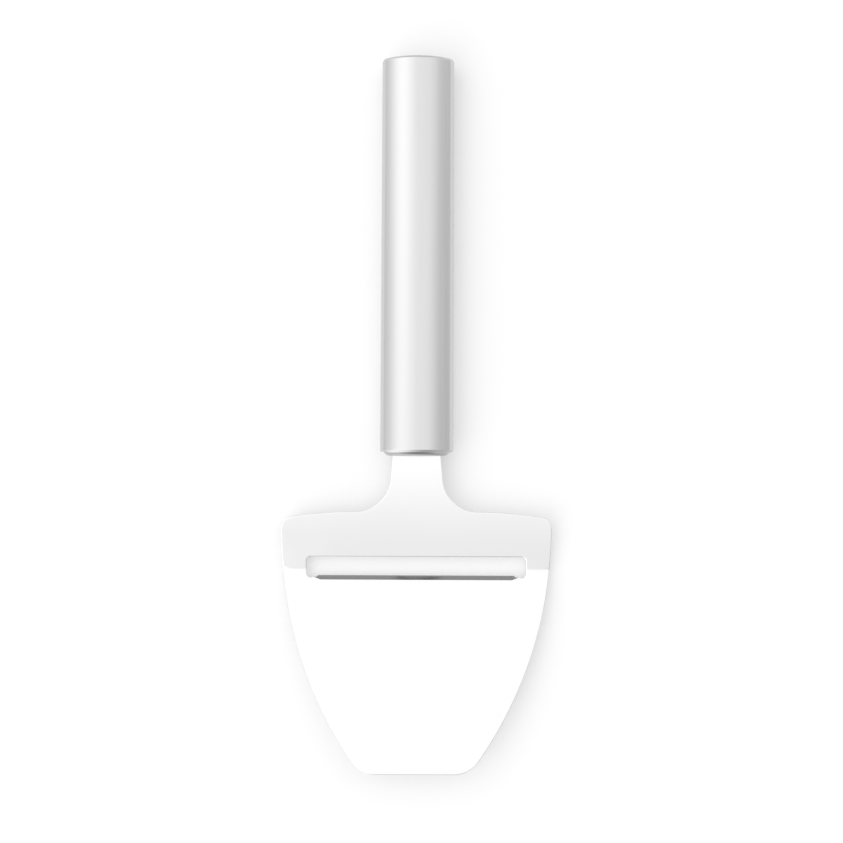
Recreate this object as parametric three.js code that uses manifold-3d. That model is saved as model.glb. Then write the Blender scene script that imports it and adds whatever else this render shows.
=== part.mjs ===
// Cheese slicer: a stamped steel blade whose tang is held inside a hollow oval tube handle.
//
// Millimetres, +Z up. The slicer lies on a table at Z = 0 on the underside of its handle, which holds the
// blade a little above the table. +Y runs from the blade's tip to the handle's butt, and X = 0 is its
// plane of symmetry. Each piece is drawn with Y = 0 on the bend, and one group then centres the slicer
// on the origin.

import * as THREE from "three";
import { ConvexGeometry } from "three/addons/geometries/ConvexGeometry.js";
import { mergeVertices } from "three/addons/utils/BufferGeometryUtils.js";
import Module from "manifold-3d";

const { degToRad } = THREE.MathUtils;

// Fits
const FIT = 0.15; // clearance all round where one piece sits in another

// Handle tube, drawn oval
const HANDLE_WIDTH = 24;
const HANDLE_HEIGHT = 13;
const SIDE_RADIUS = 4; // of the oval's two sides, which run into broader arcs above and below
const TUBE_LENGTH = 131.3;
const TUBE_WALL = 0.8;
const MOUTH_EDGE_RADIUS = 0.5; // rounds the outer edge of the open front end
const ROLL_INSIDE_RADIUS = 0.3; // of the butt end, rolled inwards over the end cap
const ROLL_LIP = 0.8; // flat lip left past the roll

// Pressed cups that close the tube's two ends
const CAP_WALL = 1;
const FRONT_CAP_DEPTH = 10;
const FRONT_CAP_EDGE_RADIUS = 2.4;
const FRONT_CAP_STANDOUT = 1.4; // how far the front cap shows in front of the tube
const END_CAP_DEPTH = 6;

// Blade sheet, seen from the side
const SHEET = 1;
const TIP_TILT = degToRad(7); // the front plate rises this steeply from the bend to its tip
const RAMP_ANGLE = degToRad(10.4); // the back rises this steeply from the bend towards the handle
const BEND_INSIDE_RADIUS = 4;
const BEND_CLEARANCE = 2.1; // between the bend's underside and the table
const RAMP_RUN = 8.1; // straight part of that rise, measured level
const NECK_FLAT = 2.7; // level neck between the crest above the ramp and the front cap

// Blade outline, seen from above
const BLADE_WIDTH = 88.8; // across the shoulders
const TIP_REACH = 65.2; // from the bend forward to the tip's edge
const TIP_WIDTH = 25.3; // straight part of the tip's edge
const TIP_CORNER_RADIUS = 9.3;
const SHOULDER_RADIUS = 137; // each shoulder is a shallow arc, level where it leaves the fillet
const SHOULDER_CORNER_RADIUS = 4;
const NECK_FILLET_RADIUS = 11.3;
const NECK_LENGTH = 7.9; // from the front cap to the fillets
const NECK_FLARE = degToRad(4.9); // each edge of the neck spreads this much on its way to the fillet
const NECK_MARGIN = 2.1; // from the neck's edge to the inside of the front cap

// Slicing slot and its cutting lip, seen from above
const SLOT_END_STRIP = 8.45; // metal left beside each end of the slot
const SLOT_BACK = 4.4; // from the bend back to the slot's rear edge
const SLOT_FRONT = 2.35; // from the bend forward to the slot's front edge, at its two ends
const SLOT_CORNER_RADIUS = 1.4;
const LIP_INSET = 3.8; // from each end of the slot to the lip's corner
const LIP_REACH = 0.65; // how far the lip stands back into the slot
const LIP_RUNOUT = 0.6; // sideways run of the lip's slanted ends
const BEVEL_LENGTH = 1.56; // ground face, from the cutting edge forward
const BEVEL_INSET = 0.75; // from the lip's corner in to the end of the ground face's root
const BEVEL_SLANT = 4.1; // sideways run of the ground face's ends, from its root to the cutting edge

// Tang, inside the handle
const TANG_LENGTH = 72; // behind the front cap's outer face
const TANG_SHOULDER_DEPTH = 14; // where the neck steps down to the tang, behind the same face
const TANG_STEP = 2; // narrower than the neck by this much on each side
const TANG_END_RADIUS = 3;

// Core halves, clamped round the tang by the tube
const POCKET_COUNT = 3; // hollows behind the tang that keep the moulding thin
const POCKET_RIB = 2.5; // between one hollow and the next
const POCKET_SKIN = 1.6; // least wall round a hollow, where the core is thinnest

// Pins through the tang
const PIN_DIAMETER = 3;
const PIN_CHAMFER = 0.3;
const PIN_RECESS = 0.6; // below the core's surface, at each end
const PIN_FRONT_MARGIN = 9; // from the tang's step back to the front pin
const PIN_REAR_MARGIN = 9; // from the tang's end forward to the rear pin

// Fineness of round forms
const PIN_STEPS = 16;
const OVAL_STEPS = 6; // half the steps of each of the four arcs round the handle
const ARC_STEPS = 6; // half the steps of each arc of the blade
const EDGE_STEPS = 3; // half the steps of each rounded edge of the handle
const SAME_POINT = 1e-6; // points closer than this are one

// The handle's oval: the arcs above and below run smoothly into the two sides
const HALF_WIDTH = HANDLE_WIDTH / 2;
const HALF_HEIGHT = HANDLE_HEIGHT / 2;
const SIDE_X = HALF_WIDTH - SIDE_RADIUS;
const CROWN_RADIUS =
  (SIDE_X ** 2 + HALF_HEIGHT ** 2 - SIDE_RADIUS ** 2) / (2 * (HALF_HEIGHT - SIDE_RADIUS));
const CROWN_DROP = CROWN_RADIUS - HALF_HEIGHT; // from the axis to the centre of the arc above
const SIDE_TURN = Math.atan2(CROWN_DROP, SIDE_X); // each side arc turns this far up and down
const AXIS_Z = HALF_HEIGHT; // the handle lies on the table

// How far inside the handle's oval each nested piece lies
const CAP_INSET = TUBE_WALL + FIT;
const CORE_INSET = TUBE_WALL + FIT;
const SPIGOT_INSET = CAP_INSET + CAP_WALL + FIT;

// Side view: the bend's centre stands over Y = 0
const BEND_RADIUS = BEND_INSIDE_RADIUS + SHEET / 2;
const BEND_Z = BEND_CLEARANCE + SHEET + BEND_INSIDE_RADIUS;
const RAMP_RISE = RAMP_RUN * Math.tan(RAMP_ANGLE);
const CREST_RISE = AXIS_Z - BEND_Z + BEND_RADIUS * Math.cos(RAMP_ANGLE) - RAMP_RISE;
const CREST_RADIUS = CREST_RISE / (1 - Math.cos(RAMP_ANGLE)); // to the middle of the sheet
const CREST_Y = (BEND_RADIUS + CREST_RADIUS) * Math.sin(RAMP_ANGLE) + RAMP_RUN;

// Stations along the handle
const CAP_FACE_Y = CREST_Y + NECK_FLAT;
const MOUTH_Y = CAP_FACE_Y + FRONT_CAP_STANDOUT;
const BUTT_Y = MOUTH_Y + TUBE_LENGTH;
const END_CAP_FACE_Y = BUTT_Y - TUBE_WALL - FIT;
const CORE_FRONT_Y = CAP_FACE_Y + CAP_WALL + FIT;
const CORE_REAR_Y = END_CAP_FACE_Y - CAP_WALL - FIT;
const TANG_STEP_Y = CAP_FACE_Y + TANG_SHOULDER_DEPTH;
const TANG_END_Y = CAP_FACE_Y + TANG_LENGTH;
const MIDDLE_Y = (BUTT_Y - TIP_REACH) / 2;

// Half widths
const BLADE_HALF = BLADE_WIDTH / 2;
const NECK_HALF = HALF_WIDTH - CAP_INSET - CAP_WALL - NECK_MARGIN;
const TANG_HALF = NECK_HALF - TANG_STEP;
const SLOT_HALF = BLADE_HALF - SLOT_END_STRIP;
const LIP_HALF = SLOT_HALF - LIP_INSET;

const PIN_STATIONS = {
  tang_pin_front: TANG_STEP_Y + PIN_FRONT_MARGIN,
  tang_pin_rear: TANG_END_Y - PIN_REAR_MARGIN,
};

const wasm = await Module();
wasm.setup();

// Solids for joining and cutting

function solidOf(geometry) {
  const bare = geometry.clone();
  bare.deleteAttribute("normal");
  bare.deleteAttribute("uv");
  const merged = mergeVertices(bare);
  return new wasm.Manifold(
    new wasm.Mesh({
      numProp: 3,
      vertProperties: merged.attributes.position.array,
      triVerts: new Uint32Array(merged.index.array),
    }),
  );
}

function geometryOf(solid) {
  const mesh = solid.getMesh();
  const geometry = new THREE.BufferGeometry();
  geometry.setAttribute("position", new THREE.BufferAttribute(mesh.vertProperties, 3));
  geometry.setIndex(new THREE.BufferAttribute(mesh.triVerts, 1));
  const flat = geometry.toNonIndexed();
  flat.computeVertexNormals();
  return flat;
}

function box(width, length, height, y, z) {
  return solidOf(new THREE.BoxGeometry(width, length, height).translate(0, y, z));
}

// A flat shape in X and Y, raised to a plate of this thickness about the height z.
function plate(shape, thickness, z) {
  const geometry = new THREE.ExtrudeGeometry(shape, {
    depth: thickness,
    bevelEnabled: false,
  });
  return solidOf(geometry.translate(0, 0, z - thickness / 2));
}

// A path's corners, without the repeats left where an arc starts on the end of the line before it.
function cornersOf(path, steps) {
  const points = path.getPoints(steps);
  return points.filter((point, i) => i === 0 || point.distanceTo(points[i - 1]) > SAME_POINT);
}

// The closed shape whose right-hand edge is this path, mirrored in X = 0.
function mirrored(path) {
  const right = cornersOf(path, ARC_STEPS);
  const left = right.map((point) => new THREE.Vector2(-point.x, point.y)).reverse();
  return new THREE.Shape([...right, ...left]);
}

// Corners round the handle's oval, drawn in from its outside by an inset, in X and Z.
function ovalRing(inset) {
  const side = SIDE_RADIUS - inset;
  const crown = CROWN_RADIUS - inset;
  const path = new THREE.Path();
  path.absarc(SIDE_X, 0, side, -SIDE_TURN, SIDE_TURN, false);
  path.absarc(0, -CROWN_DROP, crown, SIDE_TURN, Math.PI - SIDE_TURN, false);
  path.absarc(-SIDE_X, 0, side, Math.PI - SIDE_TURN, Math.PI + SIDE_TURN, false);
  path.absarc(0, CROWN_DROP, crown, Math.PI + SIDE_TURN, 2 * Math.PI - SIDE_TURN, false);
  return cornersOf(path, OVAL_STEPS).slice(0, -1);
}

// A solid along the Y axis with the handle's oval as its section. The path gives its inset against Y,
// from its flat front end to its flat rear end.
function ovalSolid(path) {
  const stations = cornersOf(path, EDGE_STEPS);
  const points = [];
  for (const { x: inset, y } of stations) {
    points.push(...ovalRing(inset).map((corner) => new THREE.Vector3(corner.x, y, corner.y)));
  }
  const count = points.length / stations.length;
  const lastRing = points.length - count;
  const front = points.length;
  const rear = front + 1;
  points.push(new THREE.Vector3(0, stations[0].y, 0));
  points.push(new THREE.Vector3(0, stations.at(-1).y, 0));

  const corners = [];
  for (let i = 0; i < count; i += 1) {
    const next = (i + 1) % count;
    corners.push(front, i, next);
    corners.push(rear, lastRing + next, lastRing + i);
    for (let ring = 0; ring < lastRing; ring += count) {
      corners.push(ring + i, ring + count + i, ring + next);
      corners.push(ring + next, ring + count + i, ring + count + next);
    }
  }
  return solidOf(new THREE.BufferGeometry().setFromPoints(points).setIndex(corners));
}

// Blade

// One face of the sheet seen from the side, this far above its middle, from the tip to the tang's end.
function sheetFace(offset) {
  const overshoot = SHEET; // past the outline, which then trims both ends
  const down = -Math.PI / 2;
  const up = Math.PI / 2;
  const radius = BEND_RADIUS - offset;
  const plateRun = (TIP_REACH + overshoot) / Math.cos(TIP_TILT);
  const path = new THREE.Path();
  path.moveTo(
    -radius * Math.sin(TIP_TILT) - plateRun * Math.cos(TIP_TILT),
    BEND_Z - radius * Math.cos(TIP_TILT) + plateRun * Math.sin(TIP_TILT),
  );
  path.lineTo(-radius * Math.sin(TIP_TILT), BEND_Z - radius * Math.cos(TIP_TILT));
  path.absarc(0, BEND_Z, radius, down - TIP_TILT, down, false);
  path.absarc(0, BEND_Z, radius, down, down + RAMP_ANGLE, false);
  path.absarc(CREST_Y, AXIS_Z - CREST_RADIUS, CREST_RADIUS + offset, up + RAMP_ANGLE, up, true);
  path.lineTo(TANG_END_Y + overshoot, AXIS_Z + offset);
  return cornersOf(path, ARC_STEPS);
}

// The bent sheet at the blade's full width, before its outline is cut.
function bentSheet() {
  const under = sheetFace(-SHEET / 2);
  const over = sheetFace(SHEET / 2).reverse();
  const geometry = new THREE.ExtrudeGeometry(new THREE.Shape([...under, ...over]), {
    depth: 2 * BLADE_WIDTH,
    bevelEnabled: false,
  });
  geometry.translate(0, 0, -BLADE_WIDTH);
  const sideways = new THREE.Matrix4().makeBasis(
    new THREE.Vector3(0, 1, 0),
    new THREE.Vector3(0, 0, 1),
    new THREE.Vector3(1, 0, 0),
  );
  return solidOf(geometry.applyMatrix4(sideways));
}

// Right-hand edge of the tang and of the neck inside the handle, grown outwards by a clearance.
function tangEdge(grow) {
  const half = TANG_HALF + grow;
  const end = TANG_END_Y + grow;
  const step = TANG_STEP_Y + grow;
  const path = new THREE.Path();
  path.moveTo(half - TANG_END_RADIUS, end);
  path.absarc(half - TANG_END_RADIUS, end - TANG_END_RADIUS, TANG_END_RADIUS, Math.PI / 2, 0, true);
  path.lineTo(half, step + TANG_STEP);
  path.lineTo(NECK_HALF + grow, step);
  return path;
}

function bladeOutline() {
  const quarter = Math.PI / 2;

  // The fillet starts where the flared neck ends, and ends where the shoulder's arc is level.
  const neckEndX = NECK_HALF + NECK_LENGTH * Math.tan(NECK_FLARE);
  const neckEndY = CAP_FACE_Y - NECK_LENGTH;
  const filletX = neckEndX + NECK_FILLET_RADIUS * Math.cos(NECK_FLARE);
  const filletY = neckEndY + NECK_FILLET_RADIUS * Math.sin(NECK_FLARE);
  const shoulderY = filletY - NECK_FILLET_RADIUS - SHOULDER_RADIUS;

  // The corner's small arc lies inside the shoulder's and runs on from it.
  const cornerX = BLADE_HALF - SHOULDER_CORNER_RADIUS;
  const cornerReach = SHOULDER_RADIUS - SHOULDER_CORNER_RADIUS;
  const cornerTurn = Math.asin((cornerX - filletX) / cornerReach);
  const cornerY = shoulderY + cornerReach * Math.cos(cornerTurn);
  const tipX = TIP_WIDTH / 2;
  const tipY = TIP_CORNER_RADIUS - TIP_REACH;

  // The side is the one arc that leaves the shoulder straight ahead and runs into the tip's corner.
  const narrowing = BLADE_HALF - tipX;
  const length = cornerY - tipY;
  const sideRadius =
    (narrowing ** 2 + length ** 2 - TIP_CORNER_RADIUS ** 2) / (2 * (narrowing - TIP_CORNER_RADIUS));
  const sideX = BLADE_HALF - sideRadius;
  const sideEnd = Math.atan2(tipY - cornerY, tipX - sideX);

  const path = tangEdge(0);
  path.lineTo(NECK_HALF, CAP_FACE_Y);
  path.absarc(filletX, filletY, NECK_FILLET_RADIUS, Math.PI + NECK_FLARE, Math.PI + quarter, false);
  path.absarc(filletX, shoulderY, SHOULDER_RADIUS, quarter, quarter - cornerTurn, true);
  path.absarc(cornerX, cornerY, SHOULDER_CORNER_RADIUS, quarter - cornerTurn, 0, true);
  path.absarc(sideX, cornerY, sideRadius, 0, sideEnd, true);
  path.absarc(tipX, tipY, TIP_CORNER_RADIUS, sideEnd, -quarter, true);
  return mirrored(path);
}

// The slot, with the cutting lip standing into it from the front.
function slotOutline() {
  const cornerX = SLOT_HALF - SLOT_CORNER_RADIUS;
  const rearY = SLOT_BACK - SLOT_CORNER_RADIUS;
  const frontY = SLOT_CORNER_RADIUS - SLOT_FRONT;
  const quarter = Math.PI / 2;
  const path = new THREE.Path();
  path.moveTo(cornerX, SLOT_BACK);
  path.absarc(cornerX, rearY, SLOT_CORNER_RADIUS, quarter, 0, true);
  path.absarc(cornerX, frontY, SLOT_CORNER_RADIUS, 0, -quarter, true);
  path.lineTo(LIP_HALF + LIP_RUNOUT, -SLOT_FRONT);
  path.lineTo(LIP_HALF, LIP_REACH - SLOT_FRONT);
  return mirrored(path);
}

// Height of the front plate's underside.
function plateUnderside(y) {
  return BEND_Z - (BEND_RADIUS + SHEET / 2) / Math.cos(TIP_TILT) - y * Math.tan(TIP_TILT);
}

// What grinding takes off the lip: a wedge above the face that slopes down to the cutting edge.
function bevelWedge() {
  const edgeY = LIP_REACH - SLOT_FRONT;
  const rootY = edgeY - BEVEL_LENGTH;
  const rootZ = plateUnderside(rootY) + SHEET / Math.cos(TIP_TILT);
  const rootX = LIP_HALF - BEVEL_INSET;
  const edge = new THREE.Vector3(rootX + BEVEL_SLANT, edgeY, plateUnderside(edgeY));
  const root = new THREE.Vector3(rootX, rootY, rootZ);

  // The wedge carries the ground face on past the root and past the edge.
  const above = new THREE.Vector3().lerpVectors(edge, root, 2);
  const below = new THREE.Vector3().lerpVectors(edge, root, -1);
  const corners = [];
  for (const side of [-1, 1]) {
    corners.push(new THREE.Vector3(side * above.x, above.y, above.z));
    corners.push(new THREE.Vector3(side * below.x, below.y, below.z));
    corners.push(new THREE.Vector3(side * below.x, below.y, above.z));
  }
  return solidOf(new ConvexGeometry(corners));
}

// Both pins' holes, bored right through about the height z.
function pinHoles(z) {
  const radius = PIN_DIAMETER / 2 + FIT;
  const holes = Object.values(PIN_STATIONS).map((y) => {
    const bore = new THREE.CylinderGeometry(radius, radius, HANDLE_HEIGHT, PIN_STEPS);
    return solidOf(bore.rotateX(Math.PI / 2).translate(0, y, z));
  });
  return holes.reduce((all, hole) => all.add(hole));
}

function bladeGeometry() {
  const tall = 2 * HANDLE_HEIGHT;
  const blade = bentSheet()
    .intersect(plate(bladeOutline(), tall, AXIS_Z))
    .subtract(plate(slotOutline(), tall, AXIS_Z))
    .subtract(bevelWedge())
    .subtract(pinHoles(AXIS_Z));
  return geometryOf(blade);
}

// Handle

function tubeGeometry() {
  const overshoot = TUBE_WALL; // past both ends, where the tube is open
  const rollRadius = ROLL_INSIDE_RADIUS + TUBE_WALL;
  const rollY = TUBE_LENGTH - rollRadius;

  const outside = new THREE.Path();
  outside.moveTo(MOUTH_EDGE_RADIUS, 0);
  outside.absarc(MOUTH_EDGE_RADIUS, MOUTH_EDGE_RADIUS, MOUTH_EDGE_RADIUS, -Math.PI / 2, -Math.PI, true);
  outside.absarc(rollRadius, rollY, rollRadius, Math.PI, Math.PI / 2, true);

  const inside = new THREE.Path();
  inside.moveTo(TUBE_WALL, -overshoot);
  inside.lineTo(TUBE_WALL, rollY);
  inside.absarc(rollRadius, rollY, ROLL_INSIDE_RADIUS, Math.PI, Math.PI / 2, true);
  inside.lineTo(rollRadius + ROLL_LIP, TUBE_LENGTH - TUBE_WALL);
  inside.lineTo(rollRadius + ROLL_LIP, TUBE_LENGTH + overshoot);
  return geometryOf(ovalSolid(outside).subtract(ovalSolid(inside)));
}

// A pressed cup along the Y axis, with its closed face at Y = 0 and its skirt reaching to +Y.
function cup(depth, edgeRadius) {
  const outside = new THREE.Path();
  const edgeInset = CAP_INSET + edgeRadius;
  outside.moveTo(edgeInset, 0);
  outside.absarc(edgeInset, edgeRadius, edgeRadius, -Math.PI / 2, -Math.PI, true);
  outside.lineTo(CAP_INSET, depth);

  const inside = new THREE.Path();
  inside.moveTo(CAP_INSET + CAP_WALL, CAP_WALL);
  inside.lineTo(CAP_INSET + CAP_WALL, depth + CAP_WALL);
  return ovalSolid(outside).subtract(ovalSolid(inside));
}

// The front cup, with the slot that the neck passes through.
function frontCapGeometry() {
  const slot = box(2 * (NECK_HALF + FIT), 2 * CAP_WALL, SHEET + 2 * FIT, CAP_WALL / 2, 0);
  return geometryOf(cup(FRONT_CAP_DEPTH, FRONT_CAP_EDGE_RADIUS).subtract(slot));
}

// The end cup, which nests in the tube's rolled end.
function endCapGeometry() {
  return geometryOf(cup(END_CAP_DEPTH, ROLL_INSIDE_RADIUS)).rotateX(Math.PI);
}

// The whole core about the Y axis: it fills the tube and reaches into the cup at each end.
function coreBlank() {
  const frontShoulder = CAP_FACE_Y + FRONT_CAP_DEPTH + FIT;
  const rearShoulder = END_CAP_FACE_Y - END_CAP_DEPTH - FIT;
  const path = new THREE.Path();
  path.moveTo(SPIGOT_INSET, CORE_FRONT_Y);
  path.lineTo(SPIGOT_INSET, frontShoulder);
  path.lineTo(CORE_INSET, frontShoulder);
  path.lineTo(CORE_INSET, rearShoulder);
  path.lineTo(SPIGOT_INSET, rearShoulder);
  path.lineTo(SPIGOT_INSET, CORE_REAR_Y);
  return ovalSolid(path);
}

// The tang's bed, the pins' holes and the hollows, all cut evenly into both halves of the core.
function coreCuts() {
  const bed = tangEdge(FIT);
  bed.lineTo(NECK_HALF + FIT, CAP_FACE_Y);
  let cuts = plate(mirrored(bed), SHEET + 2 * FIT, 0).add(pinHoles(0));
  const from = TANG_END_Y + FIT + POCKET_RIB;
  const to = CORE_REAR_Y - POCKET_RIB;
  const pitch = (to - from + POCKET_RIB) / POCKET_COUNT;
  const inset = SPIGOT_INSET + POCKET_SKIN;
  for (let i = 0; i < POCKET_COUNT; i += 1) {
    const hollow = new THREE.Path();
    hollow.moveTo(inset, from + i * pitch);
    hollow.lineTo(inset, from + (i + 1) * pitch - POCKET_RIB);
    cuts = cuts.add(ovalSolid(hollow));
  }
  return cuts;
}

// Half of the core, on the side of the tang that the sign gives.
function coreHalfGeometry(side) {
  const middle = (MOUTH_Y + BUTT_Y) / 2;
  const centre = side * (HALF_HEIGHT + FIT / 2);
  const half = box(HANDLE_WIDTH, 2 * TUBE_LENGTH, HANDLE_HEIGHT, middle, centre);
  return geometryOf(coreBlank().subtract(coreCuts()).intersect(half));
}

function pinGeometry() {
  const half = HALF_HEIGHT - CORE_INSET - PIN_RECESS;
  const radius = PIN_DIAMETER / 2;
  const path = new THREE.Path();
  path.moveTo(0, -half);
  path.lineTo(radius - PIN_CHAMFER, -half);
  path.lineTo(radius, PIN_CHAMFER - half);
  path.lineTo(radius, half - PIN_CHAMFER);
  path.lineTo(radius - PIN_CHAMFER, half);
  path.lineTo(0, half);
  return new THREE.LatheGeometry(path.getPoints(), PIN_STEPS).rotateX(Math.PI / 2);
}

// Finishes

function steel(color, roughness) {
  return new THREE.MeshStandardMaterial({ color, roughness, metalness: 1 });
}

const polishedSteel = steel("#ececec", 0.08);
const brushedSteel = steel("#d1d1d1", 0.32);
const satinSteel = steel("#c6c6c6", 0.22);
const groundSteel = steel("#b4b4b4", 0.3);
const mouldedPlastic = new THREE.MeshStandardMaterial({ color: "#3b3d40", roughness: 0.55 });

// Assembly

const slicer = new THREE.Group();
slicer.position.y = -MIDDLE_Y;

// The handle's pieces are placed along its own axis.
const handle = new THREE.Group();
handle.position.z = AXIS_Z;
slicer.add(handle);

function place(parent, name, geometry, material, y = 0) {
  const mesh = new THREE.Mesh(geometry, material);
  mesh.name = name;
  mesh.position.y = y;
  parent.add(mesh);
}

place(slicer, "blade", bladeGeometry(), polishedSteel);
place(handle, "handle_tube", tubeGeometry(), brushedSteel, MOUTH_Y);
place(handle, "front_cap", frontCapGeometry(), satinSteel, CAP_FACE_Y);
place(handle, "end_cap", endCapGeometry(), satinSteel, END_CAP_FACE_Y);
place(handle, "core_upper", coreHalfGeometry(1), mouldedPlastic);
place(handle, "core_lower", coreHalfGeometry(-1), mouldedPlastic);
for (const [name, y] of Object.entries(PIN_STATIONS)) {
  place(handle, name, pinGeometry(), groundSteel, y);
}

const root = new THREE.Group();
root.add(slicer);

export default root;
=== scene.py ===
import math

import bmesh
import bpy
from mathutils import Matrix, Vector


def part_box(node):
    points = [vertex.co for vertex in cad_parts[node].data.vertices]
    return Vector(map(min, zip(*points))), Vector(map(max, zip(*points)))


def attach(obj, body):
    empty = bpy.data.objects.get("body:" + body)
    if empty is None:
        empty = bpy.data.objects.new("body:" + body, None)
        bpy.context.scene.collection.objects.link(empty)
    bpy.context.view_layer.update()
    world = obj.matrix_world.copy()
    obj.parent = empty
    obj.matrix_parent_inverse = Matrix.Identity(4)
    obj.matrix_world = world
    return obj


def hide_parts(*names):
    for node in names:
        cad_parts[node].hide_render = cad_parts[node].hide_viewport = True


# Stainless steel cheese slicer, lying on a white table and seen from above.
# Sizes are in millimetres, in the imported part's own frame, and MM turns them into metres.

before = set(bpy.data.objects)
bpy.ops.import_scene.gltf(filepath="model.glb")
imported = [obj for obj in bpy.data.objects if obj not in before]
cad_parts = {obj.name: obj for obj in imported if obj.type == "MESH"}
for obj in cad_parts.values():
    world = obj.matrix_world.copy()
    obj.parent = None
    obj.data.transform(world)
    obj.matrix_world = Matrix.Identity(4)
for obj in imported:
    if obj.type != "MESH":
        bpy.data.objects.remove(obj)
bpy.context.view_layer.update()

MM = 0.001
QUARTER = math.pi / 2


def box_mm(node):
    low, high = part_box(node)
    return low / MM, high / MM


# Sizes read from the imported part
blade_low, blade_high = box_mm("blade")
tube_low, tube_high = box_mm("handle_tube")
front_cap_low, front_cap_high = box_mm("front_cap")
end_cap_low, end_cap_high = box_mm("end_cap")

AXIS_Z = (tube_low.z + tube_high.z) / 2
HALF_WIDTH = (tube_high.x - tube_low.x) / 2  # of the oval handle
HALF_HEIGHT = (tube_high.z - tube_low.z) / 2
CAP_INSET = HALF_WIDTH - (front_cap_high.x - front_cap_low.x) / 2  # from the handle's outside
BLADE_HALF = (blade_high.x - blade_low.x) / 2

# Blade sheet, seen from the side
SHEET = 1
TIP_REACH = 65.2  # from the bend forward to the tip's edge
BEND_Y = blade_low.y + TIP_REACH
TIP_TILT = math.radians(7)
RAMP_ANGLE = math.radians(10.4)
BEND_INSIDE_RADIUS = 4
BEND_RADIUS = BEND_INSIDE_RADIUS + SHEET / 2  # to the middle of the sheet
BEND_Z = blade_low.z + SHEET / 2 + BEND_RADIUS  # height of the bend's centre
RAMP_RUN = 8.1

# Blade outline, seen from above, with Y measured from the bend
CAP_FACE = front_cap_low.y - BEND_Y
TANG_END = blade_high.y - BEND_Y
TIP_TUCK = 0.03  # keeps the rounded edge of the tilted tip within its reach
TIP_WIDTH = 25.3
TIP_CORNER_RADIUS = 9.3
SHOULDER_RADIUS = 137  # each shoulder is a shallow arc, level where it leaves the fillet
SHOULDER_CORNER_RADIUS = 4
NECK_FILLET_RADIUS = 11.3
NECK_LENGTH = 7.9
NECK_FLARE = math.radians(4.9)
NECK_HALF = 7.95
EDGE_RADIUS = 0.3  # polished-over outer edge of the sheet

# Slicing slot and its ground lip, seen from above
SLOT_MARGIN = 8.45  # from the slot's end to the blade's widest line
SLOT_HALF = BLADE_HALF - SLOT_MARGIN
SLOT_BACK = 4.4
SLOT_FRONT = 2.35
SLOT_CORNER_RADIUS = 1.4
SLOT_EDGE_RADIUS = 0.35
LIP_MARGIN = 3.8  # from the lip's corner to the slot's end
LIP_HALF = SLOT_HALF - LIP_MARGIN
LIP_REACH = 0.65  # how far the lip stands back into the slot
LIP_RUNOUT = 0.6
BEVEL_LENGTH = 1.56
BEVEL_INSET = 0.75  # the ground face is this much shorter at its root, at each end
BEVEL_RUNOUT = 1.7  # from the lip's corner out to where the grinding dies away

# Tang, inside the handle
TANG_STEP = 2
TANG_HALF = NECK_HALF - TANG_STEP
TANG_SHOULDER_DEPTH = 14
TANG_END_RADIUS = 3
PIN_HOLE_RADIUS = 1.65
PIN_HOLE_EDGE_RADIUS = 0.1
PIN_MARGIN = 9  # from the tang's step to the front pin, and from its end to the rear one

# Oval handle tube and the cups in its ends
SIDE_RADIUS = 4  # of the oval's two sides, which run into broader arcs above and below
TUBE_WALL = 0.8
MOUTH_EDGE_RADIUS = 0.25
BORE_EDGE_RADIUS = 0.2
ROLL_INSIDE_RADIUS = 0.3
ROLL_LIP = 0.8
LIP_EDGE_RADIUS = 0.2
CAP_WALL = 1  # of each cup
FRONT_CAP_EDGE_RADIUS = 2.4
CAP_RIM_RADIUS = 0.25
NECK_SLOT_FIT = 0.15
NECK_SLOT_RADIUS = 0.3

# Fineness of the meshes
OVAL_SIDE_STEPS = 32
OVAL_CROWN_STEPS = 48
ARC_STEPS = 20
SIDE_STEPS = 40
SMALL_ARC_STEPS = 10
EDGE_STEPS = 5
VALLEY_STEPS = 20
CREST_STEPS = 30
SAME_POINT = 1e-6
SHARP_ANGLE = math.radians(30)

# The handle's oval: the arcs above and below run smoothly into the two sides
SIDE_X = HALF_WIDTH - SIDE_RADIUS
CROWN_RADIUS = (SIDE_X**2 + HALF_HEIGHT**2 - SIDE_RADIUS**2) / (2 * (HALF_HEIGHT - SIDE_RADIUS))
CROWN_DROP = CROWN_RADIUS - HALF_HEIGHT
SIDE_TURN = math.atan2(CROWN_DROP, SIDE_X)

# Derived side view, with Y measured from the bend
PLATE_END = -BEND_RADIUS * math.sin(TIP_TILT)
RAMP_START = BEND_RADIUS * math.sin(RAMP_ANGLE)
RAMP_END = RAMP_START + RAMP_RUN
RAMP_BASE_Z = BEND_Z - BEND_RADIUS * math.cos(RAMP_ANGLE)
CREST_RISE = AXIS_Z - RAMP_BASE_Z - RAMP_RUN * math.tan(RAMP_ANGLE)
CREST_RADIUS = CREST_RISE / (1 - math.cos(RAMP_ANGLE))
CREST_END = RAMP_END + CREST_RADIUS * math.sin(RAMP_ANGLE)


# Shapes


def arc(centre, radius, start, end, steps):
    """Points along an arc from one angle to another, both ends included."""
    points = []
    for i in range(steps + 1):
        angle = start + (end - start) * i / steps
        points.append((centre[0] + radius * math.cos(angle), centre[1] + radius * math.sin(angle)))
    return points


def without_repeats(points):
    kept = [points[0]]
    for point in points[1:]:
        if math.dist(point, kept[-1]) > SAME_POINT:
            kept.append(point)
    return kept


def mirrored(right):
    """A closed clockwise loop from its right-hand half."""
    right = without_repeats(right)
    return right + [(-x, y) for x, y in reversed(right)]


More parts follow.
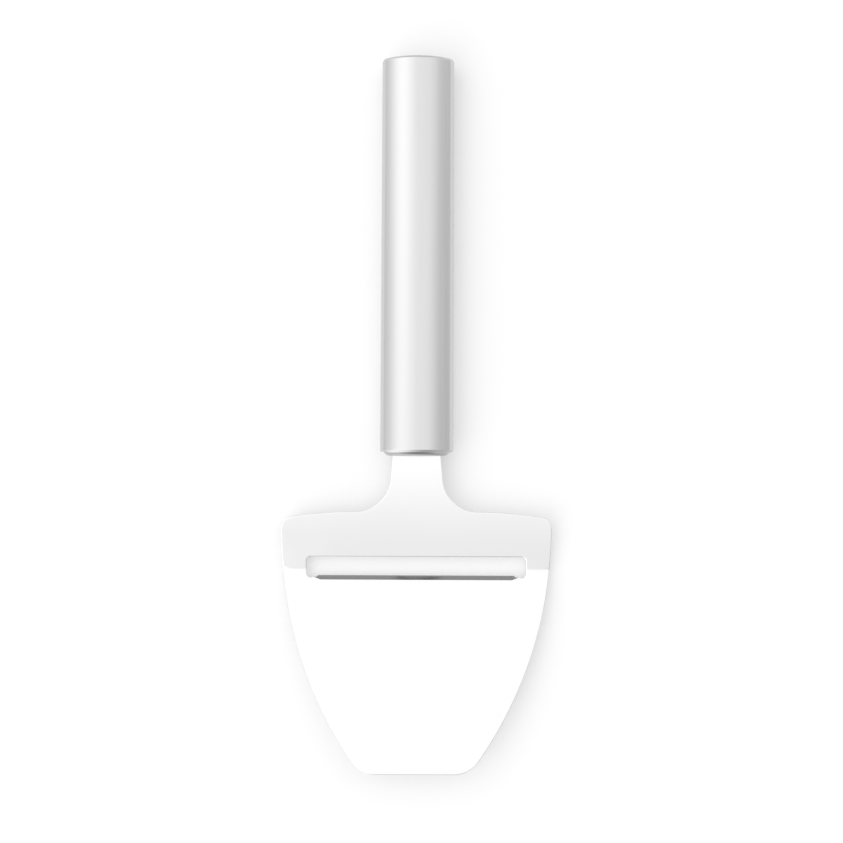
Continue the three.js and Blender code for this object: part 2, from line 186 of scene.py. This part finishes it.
def sheet_middle(y):
    """Height of the middle of the bent sheet, and how steeply it rises towards the handle."""
    if y < PLATE_END:
        bottom = BEND_Z - BEND_RADIUS * math.cos(TIP_TILT)
        return bottom + (PLATE_END - y) * math.tan(TIP_TILT), -TIP_TILT
    if y < RAMP_START:
        angle = math.asin(y / BEND_RADIUS)
        return BEND_Z - BEND_RADIUS * math.cos(angle), angle
    if y < RAMP_END:
        return RAMP_BASE_Z + (y - RAMP_START) * math.tan(RAMP_ANGLE), RAMP_ANGLE
    if y < CREST_END:
        angle = math.asin((CREST_END - y) / CREST_RADIUS)
        return AXIS_Z - CREST_RADIUS * (1 - math.cos(angle)), angle
    return AXIS_Z, 0.0


def on_sheet(point):
    """Where a point of the flat sheet lies once the sheet is bent."""
    x, y, height = point
    middle, angle = sheet_middle(y)
    return Vector((x, BEND_Y + y - height * math.sin(angle), middle + height * math.cos(angle)))


def blade_edge():
    """The blade's outline with its tang, clockwise from the tang's end."""
    step_y = CAP_FACE + TANG_SHOULDER_DEPTH
    neck_x = NECK_HALF + NECK_LENGTH * math.tan(NECK_FLARE)
    neck_y = CAP_FACE - NECK_LENGTH
    fillet_x = neck_x + NECK_FILLET_RADIUS * math.cos(NECK_FLARE)
    fillet_y = neck_y + NECK_FILLET_RADIUS * math.sin(NECK_FLARE)
    shoulder_y = fillet_y - NECK_FILLET_RADIUS - SHOULDER_RADIUS

    # The corner's small arc lies inside the shoulder's and runs on from it.
    corner_x = BLADE_HALF - SHOULDER_CORNER_RADIUS
    corner_reach = SHOULDER_RADIUS - SHOULDER_CORNER_RADIUS
    corner_turn = math.asin((corner_x - fillet_x) / corner_reach)
    corner_y = shoulder_y + corner_reach * math.cos(corner_turn)
    tip_x = TIP_WIDTH / 2
    tip_y = TIP_CORNER_RADIUS - TIP_REACH + TIP_TUCK

    # The side is the one arc that leaves the shoulder straight ahead and runs into the tip's corner.
    narrowing = BLADE_HALF - tip_x
    length = corner_y - tip_y
    chord = narrowing**2 + length**2 - TIP_CORNER_RADIUS**2
    side_radius = chord / (2 * (narrowing - TIP_CORNER_RADIUS))
    side_x = BLADE_HALF - side_radius
    side_end = math.atan2(tip_y - corner_y, tip_x - side_x)

    end_x = TANG_HALF - TANG_END_RADIUS
    end_y = TANG_END - TANG_END_RADIUS
    right = arc((end_x, end_y), TANG_END_RADIUS, QUARTER, 0, SMALL_ARC_STEPS)
    right += [(TANG_HALF, step_y + TANG_STEP), (NECK_HALF, step_y), (NECK_HALF, CAP_FACE)]
    fillet = (fillet_x, fillet_y)
    shoulder = (fillet_x, shoulder_y)
    corner = (corner_x, corner_y)
    right += arc(fillet, NECK_FILLET_RADIUS, math.pi + NECK_FLARE, math.pi + QUARTER, ARC_STEPS)
    right += arc(shoulder, SHOULDER_RADIUS, QUARTER, QUARTER - corner_turn, ARC_STEPS)
    right += arc(corner, SHOULDER_CORNER_RADIUS, QUARTER - corner_turn, 0, ARC_STEPS)
    right += arc((side_x, corner_y), side_radius, 0, side_end, SIDE_STEPS)
    right += arc((tip_x, tip_y), TIP_CORNER_RADIUS, side_end, -QUARTER, ARC_STEPS)
    return mirrored(right)


def slot_edge():
    """The slot's outline, clockwise, without the lip that stands into its front."""
    x = SLOT_HALF - SLOT_CORNER_RADIUS
    right = arc((x, SLOT_BACK - SLOT_CORNER_RADIUS), SLOT_CORNER_RADIUS, QUARTER, 0, SMALL_ARC_STEPS)
    right += arc((x, SLOT_CORNER_RADIUS - SLOT_FRONT), SLOT_CORNER_RADIUS, 0, -QUARTER, SMALL_ARC_STEPS)
    return mirrored(right)


def rounded_sections(loop, radius, side):
    """A rounded edge at each corner of a loop, from the top face round to the underside.

    The sheet lies inside a clockwise loop where side is 1, and outside it where side is -1.
    """
    steps = []
    for i in range(EDGE_STEPS + 1):
        angle = QUARTER * i / EDGE_STEPS
        steps.append((radius * (1 - math.sin(angle)), SHEET / 2 - radius * (1 - math.cos(angle))))
    steps += [(inset, -height) for inset, height in reversed(steps)]

    sections = []
    for i, point in enumerate(loop):
        here = Vector(point)
        before = (here - Vector(loop[i - 1])).normalized()
        after = (Vector(loop[(i + 1) % len(loop)]) - here).normalized()
        along = (before + after).normalized()
        inwards = side * Vector((along.y, -along.x)) / along.dot(before)
        section = []
        for inset, height in steps:
            x, y = here + inset * inwards
            section.append(Vector((x, y, height)))
        sections.append(section)
    return sections


def ground_section(top, bottom):
    """A straight ground face from its root on the top face down to its edge underneath."""
    top = Vector((*top, SHEET / 2))
    bottom = Vector((*bottom, -SHEET / 2))
    last = 2 * EDGE_STEPS + 1
    return [top.lerp(bottom, i / last) for i in range(last + 1)]


def lip_sections(side):
    """The cutting lip's end on one side of the blade, from the slot's edge to the lip's corner."""
    edge_y = LIP_REACH - SLOT_FRONT
    runout = ground_section(
        (side * (LIP_HALF + BEVEL_RUNOUT), -SLOT_FRONT),
        (side * (LIP_HALF + LIP_RUNOUT), -SLOT_FRONT),
    )
    corner = ground_section(
        (side * (LIP_HALF - BEVEL_INSET), edge_y - BEVEL_LENGTH),
        (side * LIP_HALF, edge_y),
    )
    return [runout, corner]


def add_edge(bm, sections):
    """Faces round one edge of the sheet. Gives its loops on the top face and underside, and its faces."""
    columns = [[bm.verts.new(point) for point in section] for section in sections]
    strips = []
    for i, column in enumerate(columns):
        following = columns[(i + 1) % len(columns)]
        strip = []
        for j in range(len(column) - 1):
            strip.append(bm.faces.new((column[j], following[j], following[j + 1], column[j + 1])))
        strips.append(strip)
    top = [column[0] for column in columns]
    under = [column[-1] for column in columns]
    return top, under, strips


def fill(bm, loops):
    """A flat face inside the first loop, with the other loops as its holes."""
    edges = []
    for loop in loops:
        for i, vertex in enumerate(loop):
            edges.append(bm.edges.get((vertex, loop[i - 1])))
    bmesh.ops.triangle_fill(bm, use_beauty=True, edges=edges)


def finished_piece(bm, name, materials):
    """Turns a mesh in millimetres into a smooth-shaded piece."""
    bmesh.ops.recalc_face_normals(bm, faces=bm.faces)
    bmesh.ops.scale(bm, vec=(MM, MM, MM), verts=bm.verts)
    for face in bm.faces:
        face.smooth = True
    mesh = bpy.data.meshes.new(name)
    bm.to_mesh(mesh)
    bm.free()
    mesh.set_sharp_from_angle(angle=SHARP_ANGLE)
    for material in materials:
        mesh.materials.append(material)
    piece = bpy.data.objects.new(name, mesh)
    bpy.context.scene.collection.objects.link(piece)
    flat_first = piece.modifiers.new("flat_faces_first", "WEIGHTED_NORMAL")
    flat_first.keep_sharp = True
    return piece


def make_blade(sheet_steel, ground_steel):
    bm = bmesh.new()
    outer = rounded_sections(blade_edge(), EDGE_RADIUS, 1)

    slot = rounded_sections(slot_edge(), SLOT_EDGE_RADIUS, -1)
    half = len(slot) // 2
    right_lip = lip_sections(1)
    left_lip = lip_sections(-1)
    slot[half:half] = right_lip + left_lip[::-1]

    step_y = CAP_FACE + TANG_SHOULDER_DEPTH
    holes = []
    for y in (step_y + PIN_MARGIN, TANG_END - PIN_MARGIN):
        circle = arc((0, y), PIN_HOLE_RADIUS, 2 * math.pi, 0, ARC_STEPS)[:-1]
        holes.append(rounded_sections(circle, PIN_HOLE_EDGE_RADIUS, -1))

    tops = []
    unders = []
    for sections in [outer, slot, *holes]:
        top, under, strips = add_edge(bm, sections)
        tops.append(top)
        unders.append(under)
        if sections is slot:
            ground_strips = strips[half : half + len(right_lip) + len(left_lip) - 1]
            for strip in ground_strips:
                for face in strip:
                    face.material_index = 1
    fill(bm, tops)
    fill(bm, unders)

    # The sheet is cut into narrow strips where it curves, and then bent.
    stations = []
    for i in range(VALLEY_STEPS + 1):
        angle = -TIP_TILT + (RAMP_ANGLE + TIP_TILT) * i / VALLEY_STEPS
        stations.append(BEND_RADIUS * math.sin(angle))
    for i in range(CREST_STEPS + 1):
        angle = RAMP_ANGLE * i / CREST_STEPS
        stations.append(CREST_END - CREST_RADIUS * math.sin(angle))
    for y in stations:
        everything = bm.verts[:] + bm.edges[:] + bm.faces[:]
        bmesh.ops.bisect_plane(bm, geom=everything, plane_co=(0, y, 0), plane_no=(0, 1, 0))
    for vertex in bm.verts:
        vertex.co = on_sheet(vertex.co)
    return finished_piece(bm, "slicer_blade", [sheet_steel, ground_steel])


def oval_ring(bm, inset, y):
    """One turn round the handle's oval, drawn in from its outside by an inset."""
    side = SIDE_RADIUS - inset
    crown = CROWN_RADIUS - inset
    right = arc((SIDE_X, 0), side, -SIDE_TURN, SIDE_TURN, OVAL_SIDE_STEPS)
    over = arc((0, -CROWN_DROP), crown, SIDE_TURN, math.pi - SIDE_TURN, OVAL_CROWN_STEPS)
    left = [(-x, -z) for x, z in right]
    under = [(-x, -z) for x, z in over]
    turn = right[:-1] + over[:-1] + left[:-1] + under[:-1]
    return [bm.verts.new((x, y, AXIS_Z + z)) for x, z in turn]


def join_rings(bm, first, second):
    for i in range(len(first)):
        bm.faces.new((first[i - 1], first[i], second[i], second[i - 1]))


def oval_shell(bm, profile):
    """Rings along the handle, joined in turn, from points of inset against Y."""
    rings = [oval_ring(bm, inset, y) for inset, y in without_repeats(profile)]
    for first, second in zip(rings, rings[1:]):
        join_rings(bm, first, second)
    return rings


def make_tube(steel):
    mouth_y = tube_low.y
    butt_y = tube_high.y
    roll_radius = ROLL_INSIDE_RADIUS + TUBE_WALL
    roll = (roll_radius, butt_y - roll_radius)
    lip_middle = roll_radius + ROLL_LIP - LIP_EDGE_RADIUS
    lip_out = (lip_middle, butt_y - LIP_EDGE_RADIUS)
    lip_in = (lip_middle, butt_y - TUBE_WALL + LIP_EDGE_RADIUS)
    mouth = (MOUTH_EDGE_RADIUS, mouth_y + MOUTH_EDGE_RADIUS)
    bore_edge = (TUBE_WALL - BORE_EDGE_RADIUS, mouth_y + BORE_EDGE_RADIUS)
    profile = arc(bore_edge, BORE_EDGE_RADIUS, 0, -QUARTER, EDGE_STEPS)
    profile += arc(mouth, MOUTH_EDGE_RADIUS, -QUARTER, -math.pi, SMALL_ARC_STEPS)
    profile += arc(roll, roll_radius, math.pi, QUARTER, SMALL_ARC_STEPS)
    profile += arc(lip_out, LIP_EDGE_RADIUS, QUARTER, 0, EDGE_STEPS)
    profile += arc(lip_in, LIP_EDGE_RADIUS, 0, -QUARTER, EDGE_STEPS)
    profile += arc(roll, ROLL_INSIDE_RADIUS, QUARTER, math.pi, SMALL_ARC_STEPS)
    bm = bmesh.new()
    rings = oval_shell(bm, profile)
    join_rings(bm, rings[-1], rings[0])
    return finished_piece(bm, "handle_tube_shell", [steel])


def cup_profile(face_y, rim_y, edge_radius):
    """A pressed cup from its closed face over its skirt's rim to the inside of that face."""
    skirt = 1 if rim_y > face_y else -1  # which way along Y the skirt reaches
    wall = CAP_INSET + CAP_WALL
    rim_middle = abs(rim_y - face_y) - CAP_RIM_RADIUS
    edge = (CAP_INSET + edge_radius, edge_radius)
    rim_out = (CAP_INSET + CAP_RIM_RADIUS, rim_middle)
    rim_in = (wall - CAP_RIM_RADIUS, rim_middle)
    profile = arc(edge, edge_radius, -QUARTER, -math.pi, SMALL_ARC_STEPS)
    profile += arc(rim_out, CAP_RIM_RADIUS, math.pi, QUARTER, EDGE_STEPS)
    profile += arc(rim_in, CAP_RIM_RADIUS, QUARTER, 0, EDGE_STEPS)
    profile.append((wall, CAP_WALL))
    return [(inset, face_y + skirt * y) for inset, y in profile]


def make_front_cap(steel):
    """The pressed cup in the tube's mouth, with the slot that the neck passes through."""
    face_y = front_cap_low.y
    bm = bmesh.new()
    rings = oval_shell(bm, cup_profile(face_y, front_cap_high.y, FRONT_CAP_EDGE_RADIUS))

    half_width = NECK_HALF + NECK_SLOT_FIT - NECK_SLOT_RADIUS
    half_height = SHEET / 2 + NECK_SLOT_FIT - NECK_SLOT_RADIUS
    outline = arc((half_width, half_height), NECK_SLOT_RADIUS, QUARTER, 0, EDGE_STEPS)
    outline += arc((half_width, -half_height), NECK_SLOT_RADIUS, 0, -QUARTER, EDGE_STEPS)
    outline = mirrored(outline)
    loops = []
    for y in (face_y, face_y + CAP_WALL):
        loops.append([bm.verts.new((x, y, AXIS_Z + z)) for x, z in outline])
    join_rings(bm, loops[0], loops[1])
    fill(bm, [rings[0], loops[0]])
    fill(bm, [rings[-1], loops[1]])
    return finished_piece(bm, "front_cap_cup", [steel])


def make_end_cap(steel):
    """The pressed cup behind the tube's rolled butt."""
    bm = bmesh.new()
    rings = oval_shell(bm, cup_profile(end_cap_high.y, end_cap_low.y, ROLL_INSIDE_RADIUS))
    fill(bm, [rings[0]])
    fill(bm, [rings[-1]])
    return finished_piece(bm, "end_cap_cup", [steel])


# Materials

MARKS_LOW, MARKS_HIGH = 0.3, 0.7  # most of a noise pattern's values lie between these


def linear(colour):
    """An sRGB hex colour as linear red, green, blue and alpha."""
    channels = []
    for i in (1, 3, 5):
        value = int(colour[i : i + 2], 16) / 255
        channels.append(value / 12.92 if value <= 0.04045 else ((value + 0.055) / 1.055) ** 2.4)
    return (*channels, 1.0)


def add_node(tree, kind, inputs, **settings):
    """A node with its settings. An input that is another node's output is linked."""
    made = tree.nodes.new(kind)
    for name, value in settings.items():
        setattr(made, name, value)
    for name, value in inputs.items():
        if isinstance(value, bpy.types.NodeSocket):
            tree.links.new(value, made.inputs[name])
        else:
            made.inputs[name].default_value = value
    return made


def marked_surface(name, marks_mm, detail, roughness, colours, metallic=1.0):
    """A material whose marks, of these sizes along X, Y and Z, vary its roughness and its tone.

    Also gives its node tree, its shader and the marks themselves.
    """
    material = bpy.data.materials.new(name)
    material.use_nodes = True
    tree = material.node_tree
    shader = tree.nodes["Principled BSDF"]
    shader.inputs["Metallic"].default_value = metallic
    place = add_node(tree, "ShaderNodeTexCoord", {}).outputs["Object"]
    per_metre = [1 / (size * MM) for size in marks_mm]
    sized = add_node(tree, "ShaderNodeMapping", {"Vector": place, "Scale": per_metre}).outputs["Vector"]
    noise = add_node(tree, "ShaderNodeTexNoise", {"Vector": sized, "Scale": 1.0, "Detail": detail})
    marks = noise.outputs["Fac"]
    shine = add_node(
        tree,
        "ShaderNodeMapRange",
        {
            "Value": marks,
            "From Min": MARKS_LOW,
            "From Max": MARKS_HIGH,
            "To Min": roughness[0],
            "To Max": roughness[1],
        },
    )
    tone = add_node(
        tree,
        "ShaderNodeMixRGB",
        {"Fac": marks, "Color1": linear(colours[0]), "Color2": linear(colours[1])},
    )
    tree.links.new(shine.outputs["Result"], shader.inputs["Roughness"])
    tree.links.new(tone.outputs["Color"], shader.inputs["Base Color"])
    return material, tree, shader, marks


def polished_stainless_sheet():
    """Cold-rolled stainless sheet, buffed to a mirror: the eye sees the room, very slightly clouded."""
    cloud = (14, 14, 14)
    material, *_ = marked_surface(
        "polished_stainless_sheet", cloud, 3.0, (0.07, 0.11), ("#ebebeb", "#ededed")
    )
    return material


def ground_lip_steel():
    """Stainless edge ground on a wheel: fine lines run down the bevel, which looks darker than the sheet.

    The lines are drawn 0.4 mm apart, coarser than the real ones, which are too fine to show.
    """
    lines = (0.4, 12, 12)
    material, *_ = marked_surface(
        "ground_lip_steel", lines, 1.0, (0.08, 0.12), ("#9e9e9e", "#a8a8a8")
    )
    return material


def brushed_stainless_tube():
    """Drawn stainless tube, brushed along its length: soft streaks, and highlights spread sideways.

    The streaks are drawn 0.5 mm apart, coarser than the real ones, which are too fine to show.
    """
    streaks = (0.5, 60, 0.5)
    material, tree, shader, _ = marked_surface(
        "brushed_stainless_tube", streaks, 2.0, (0.22, 0.26), ("#cecece", "#d4d4d4")
    )
    around = add_node(tree, "ShaderNodeTangent", {}, direction_type="RADIAL", axis="Y")
    tree.links.new(around.outputs["Tangent"], shader.inputs["Tangent"])
    shader.inputs["Anisotropic"].default_value = 0.6
    return material


def satin_pressed_steel():
    """Stainless cup, pressed and blasted satin: a soft, slightly grainy sheen."""
    grain = (0.5, 0.5, 0.5)
    material, *_ = marked_surface(
        "satin_pressed_steel", grain, 2.0, (0.28, 0.34), ("#c4c4c4", "#c8c8c8")
    )
    return material


def moulded_polypropylene():
    """Injection-moulded polypropylene from a spark-eroded mould: dark grey with a fine dull texture."""
    texture = (0.6, 0.6, 0.6)
    texture_height = 0.02
    material, tree, shader, marks = marked_surface(
        "moulded_polypropylene", texture, 2.0, (0.46, 0.58), ("#393b3e", "#3d3f42"), metallic=0.0
    )
    raised = add_node(
        tree, "ShaderNodeBump", {"Height": marks, "Strength": 1.0, "Distance": texture_height * MM}
    )
    tree.links.new(raised.outputs["Normal"], shader.inputs["Normal"])
    return material


def ground_pin_steel():
    """Centreless-ground steel pin: fine rings run round it, and its sheen is broken up along it."""
    rings = (8, 8, 0.3)
    material, *_ = marked_surface(
        "ground_pin_steel", rings, 1.0, (0.26, 0.34), ("#b1b1b1", "#b7b7b7")
    )
    return material


# Stage: the table, the light tent and the camera

TABLE_RADIUS = 4.0  # metres
TABLE_SIDES = 64
TABLE_COLOUR = "#f7f7f7"
TABLE_WHITENING = 0.33  # how far the table is seen whitened, as a photographer lifts a white ground


def white_table():
    """Matt white board: the camera and the steel see it part way to plain white, with paler shadows."""
    material = bpy.data.materials.new("white_table")
    material.use_nodes = True
    tree = material.node_tree
    shader = tree.nodes["Principled BSDF"]
    shader.inputs["Base Color"].default_value = linear(TABLE_COLOUR)
    shader.inputs["Roughness"].default_value = 1.0
    shader.inputs["Specular IOR Level"].default_value = 0.0
    path = add_node(tree, "ShaderNodeLightPath", {}).outputs
    seen = path["Is Camera Ray"]
    for reflected in (path["Is Glossy Ray"], path["Is Transmission Ray"]):
        either = add_node(tree, "ShaderNodeMath", {0: seen, 1: reflected}, operation="MAXIMUM")
        seen = either.outputs["Value"]
    share = add_node(tree, "ShaderNodeMath", {0: seen, 1: TABLE_WHITENING}, operation="MULTIPLY")
    white = add_node(tree, "ShaderNodeEmission", {"Color": linear("#ffffff"), "Strength": 1.0})
    mixed = add_node(
        tree,
        "ShaderNodeMixShader",
        {0: share.outputs["Value"], 1: shader.outputs["BSDF"], 2: white.outputs["Emission"]},
    )
    tree.links.new(mixed.outputs["Shader"], tree.nodes["Material Output"].inputs["Surface"])
    return material


def make_table():
    mesh = bpy.data.meshes.new("white_table")
    bm = bmesh.new()
    bmesh.ops.create_circle(bm, cap_ends=True, segments=TABLE_SIDES, radius=TABLE_RADIUS)
    bm.to_mesh(mesh)
    bm.free()
    mesh.materials.append(white_table())
    table = bpy.data.objects.new("white_table", mesh)
    bpy.context.scene.collection.objects.link(table)


TENT_LEVEL = 1.19
# Parts of the tent that differ from it: which way each lies, how far from overhead it lies and how far
# it spreads, both in degrees, and the level that it adds
TENT_PARTS = (
    ((-1, 0), 38, 40, 0.23),  # broad soft panel on the left
    ((-1, 1), 46, 33, 0.27),  # which reaches back past the handle's butt
    ((-1, -1), 55, 40, 0.94),  # and forward past the blade, where it is strongest
    ((1, -1), 55, 40, -0.5),  # shaded in front on the right, where the shadows fall
    ((0, -1), 45, 50, -0.23),  # greyer in front of the blade
    ((0, -1), 88, 32, -0.95),  # and dark there close to the table
    ((0, 1), 85, 65, -0.5),  # darker all along the back, towards the table
    ((-1, 0), 80, 45, -0.42),  # darker towards the table on the left
    ((1, 0), 68, 45, -0.48),  # and on the right
)


def make_light():
    """A light tent with soft panels on its left, shaded in front on the right and darker low down."""
    world = bpy.data.worlds.new("light_tent")
    bpy.context.scene.world = world
    world.use_nodes = True
    tree = world.node_tree
    background = tree.nodes["Background"]
    background.inputs["Color"].default_value = linear("#ffffff")
    towards = add_node(tree, "ShaderNodeTexCoord", {}).outputs["Generated"]
    level = add_node(tree, "ShaderNodeValue", {}).outputs["Value"]
    level.default_value = TENT_LEVEL
    for side, degrees, spread, added in TENT_PARTS:
        out = Vector(side).normalized() * math.sin(math.radians(degrees))
        middle = (out.x, out.y, math.cos(math.radians(degrees)))
        facing = add_node(
            tree, "ShaderNodeVectorMath", {0: towards, 1: middle}, operation="DOT_PRODUCT"
        ).outputs["Value"]
        part = add_node(
            tree,
            "ShaderNodeMapRange",
            {"Value": facing, "From Min": math.cos(math.radians(spread)), "To Max": added},
            interpolation_type="SMOOTHSTEP",
        ).outputs["Result"]
        level = add_node(tree, "ShaderNodeMath", {0: level, 1: part}, operation="ADD").outputs["Value"]
    tree.links.new(level, background.inputs["Strength"])


CAMERA_PLACE = (1.72, BEND_Y + 6.25, 520)  # millimetres, straight above the slot
CAMERA_TILT = math.radians(4.719)  # towards the handle
CAMERA_TURN = math.radians(0.25)
CAMERA_LENS = 66.98


def make_camera():
    data = bpy.data.cameras.new("camera")
    data.lens = CAMERA_LENS
    camera = bpy.data.objects.new("camera", data)
    camera.location = Vector(CAMERA_PLACE) * MM
    camera.rotation_euler = (CAMERA_TILT, 0, CAMERA_TURN)
    bpy.context.scene.collection.objects.link(camera)
    bpy.context.scene.camera = camera


make_camera()
make_table()
make_light()
bpy.context.scene.view_settings.view_transform = "Standard"

cap_steel = satin_pressed_steel()
core_plastic = moulded_polypropylene()
pin_steel = ground_pin_steel()

blade = make_blade(polished_stainless_sheet(), ground_lip_steel())
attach(blade, "root")
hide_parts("blade")

tube = make_tube(brushed_stainless_tube())
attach(tube, "root")
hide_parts("handle_tube")

front_cap = make_front_cap(cap_steel)
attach(front_cap, "root")
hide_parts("front_cap")

end_cap = make_end_cap(cap_steel)
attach(end_cap, "root")
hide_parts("end_cap")

for node, material in (
    ("core_upper", core_plastic),
    ("core_lower", core_plastic),
    ("tang_pin_front", pin_steel),
    ("tang_pin_rear", pin_steel),
):
    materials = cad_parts[node].data.materials
    materials.clear()
    materials.append(material)
